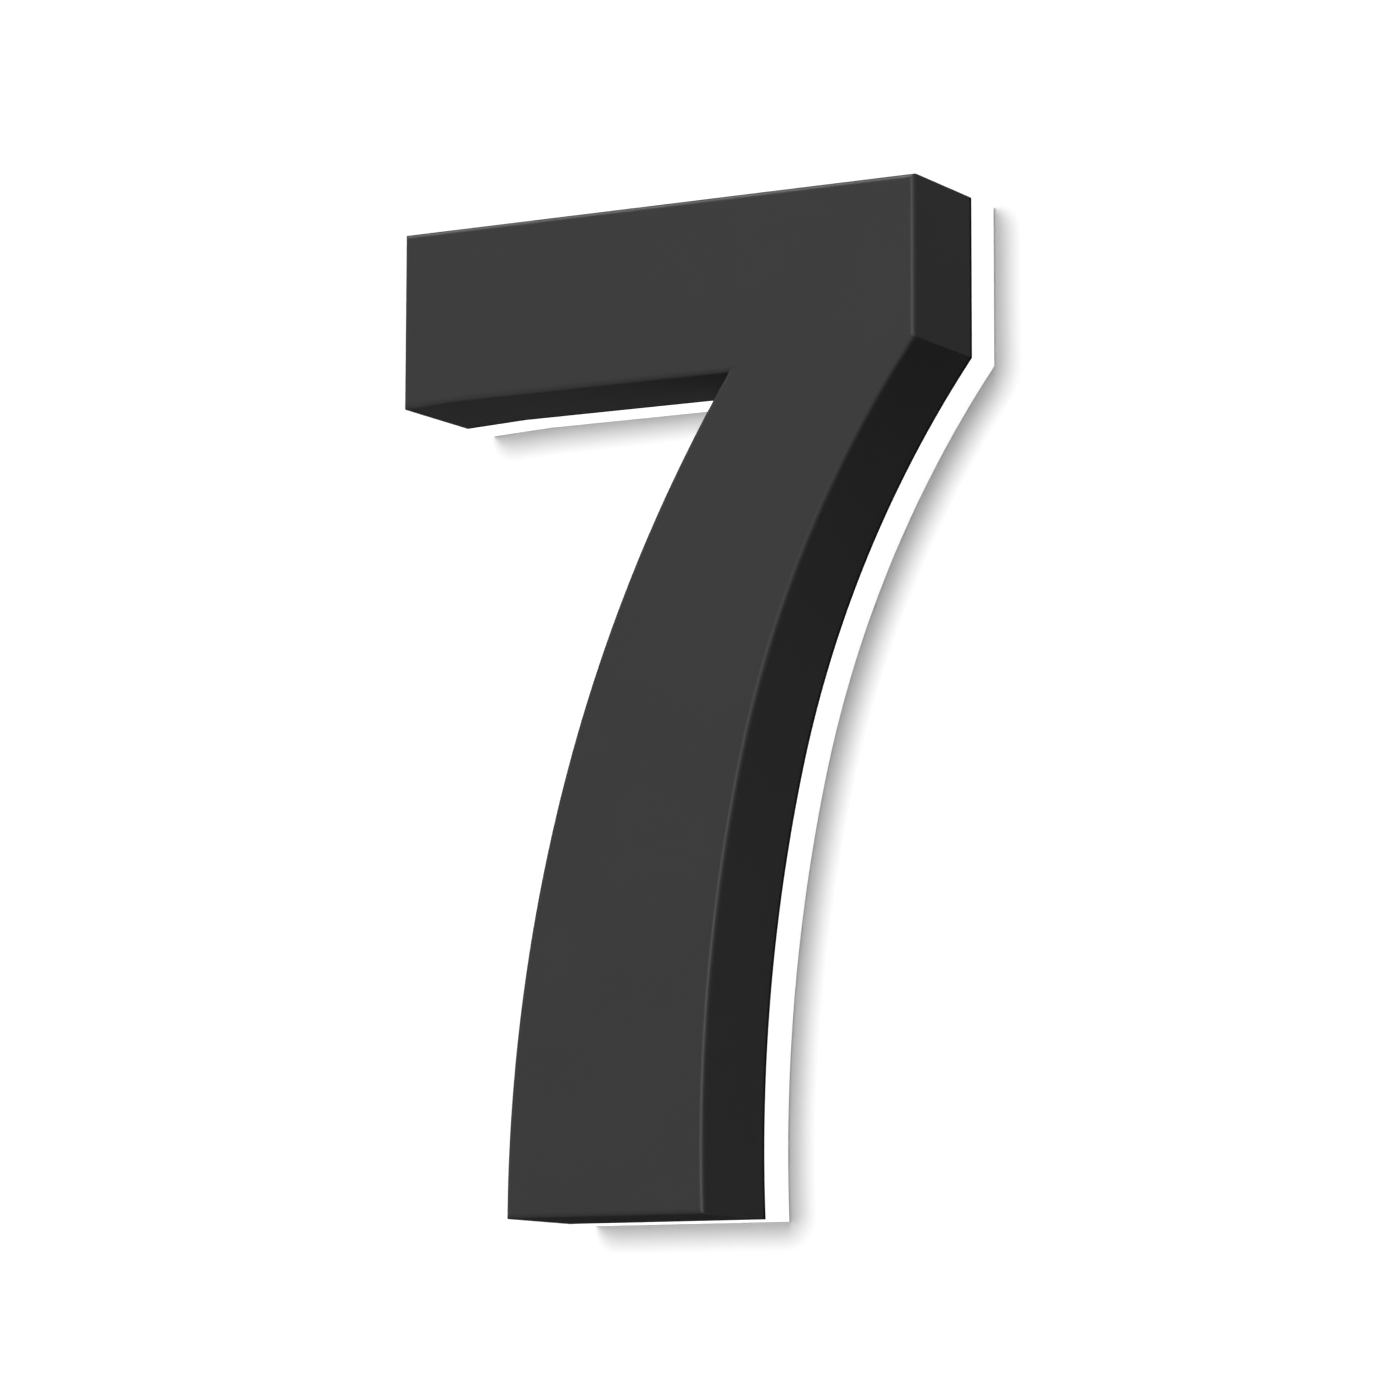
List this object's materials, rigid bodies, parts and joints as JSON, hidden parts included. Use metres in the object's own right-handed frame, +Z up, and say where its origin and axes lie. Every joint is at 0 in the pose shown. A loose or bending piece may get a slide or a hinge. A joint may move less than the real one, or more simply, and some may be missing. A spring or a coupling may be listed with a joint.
{
  "type": "illuminated house number sign",
  "caption": "Back-lit house number: a black sheet-metal digit shell on a white acrylic base, with LED modules inside and studs for the wall.",
  "frame": {"origin": "middle of the digit's outline on the wall plane, which is the flat back of the acrylic base", "axes": "+Y into the wall, along the studs; +Z up the digit; +X to the right seen from the front"},
  "size_m": [0.1162, 0.0615, 0.2],
  "materials": {
    "black_powder_coat": "matt black powder coat on stainless sheet",
    "opal_acrylic": "opal white cast acrylic, lit from inside",
    "silicone": "translucent silicone",
    "stainless_steel": "plain stainless steel",
    "black_rubber": "matt rubber",
    "module_plastic": "moulded white",
    "lamp_board": "white solder mask with a yellow lamp chip",
    "lens_plastic": "clear moulded lens",
    "foam_pad": "grey adhesive foam",
    "red_insulation": "red wire insulation",
    "black_insulation": "black wire insulation",
    "heat_shrink": "heat-shrink sleeve",
    "terminal_plastic": "moulded white",
    "brass": "plain brass",
    "plated_steel": "zinc plated"
  },
  "bodies": {
    "root": {"front_face": "black_powder_coat", "return_band": "black_powder_coat", "acrylic_base": "opal_acrylic", "silicone_seal": "silicone", "cable_bush": "black_rubber", "stud_left": "stainless_steel", "washer_left": "stainless_steel", "nut_left": "stainless_steel", "stud_right": "stainless_steel", "washer_right": "stainless_steel", "nut_right": "stainless_steel", "stud_foot": "stainless_steel", "washer_foot": "stainless_steel", "nut_foot": "stainless_steel", "module_1_housing": "module_plastic", "module_1_board": "lamp_board", "module_1_lens": "lens_plastic", "module_1_pad": "foam_pad", "module_2_housing": "module_plastic", "module_2_board": "lamp_board", "module_2_lens": "lens_plastic", "module_2_pad": "foam_pad", "module_3_housing": "module_plastic", "module_3_board": "lamp_board", "module_3_lens": "lens_plastic", "module_3_pad": "foam_pad", "module_4_housing": "module_plastic", "module_4_board": "lamp_board", "module_4_lens": "lens_plastic", "module_4_pad": "foam_pad", "module_5_housing": "module_plastic", "module_5_board": "lamp_board", "module_5_lens": "lens_plastic", "module_5_pad": "foam_pad", "module_6_housing": "module_plastic", "module_6_board": "lamp_board", "module_6_lens": "lens_plastic", "module_6_pad": "foam_pad", "module_7_housing": "module_plastic", "module_7_board": "lamp_board", "module_7_lens": "lens_plastic", "module_7_pad": "foam_pad", "module_8_housing": "module_plastic", "module_8_board": "lamp_board", "module_8_lens": "lens_plastic", "module_8_pad": "foam_pad", "chain_leads_positive": "red_insulation", "feed_lead_positive": "red_insulation", "chain_leads_negative": "black_insulation", "feed_lead_negative": "black_insulation", "chain_end_cap": "heat_shrink", "terminal_body": "terminal_plastic", "terminal_clamps": "brass", "terminal_screws": "plated_steel", "terminal_pad": "foam_pad"}
  },
  "joints": []
}
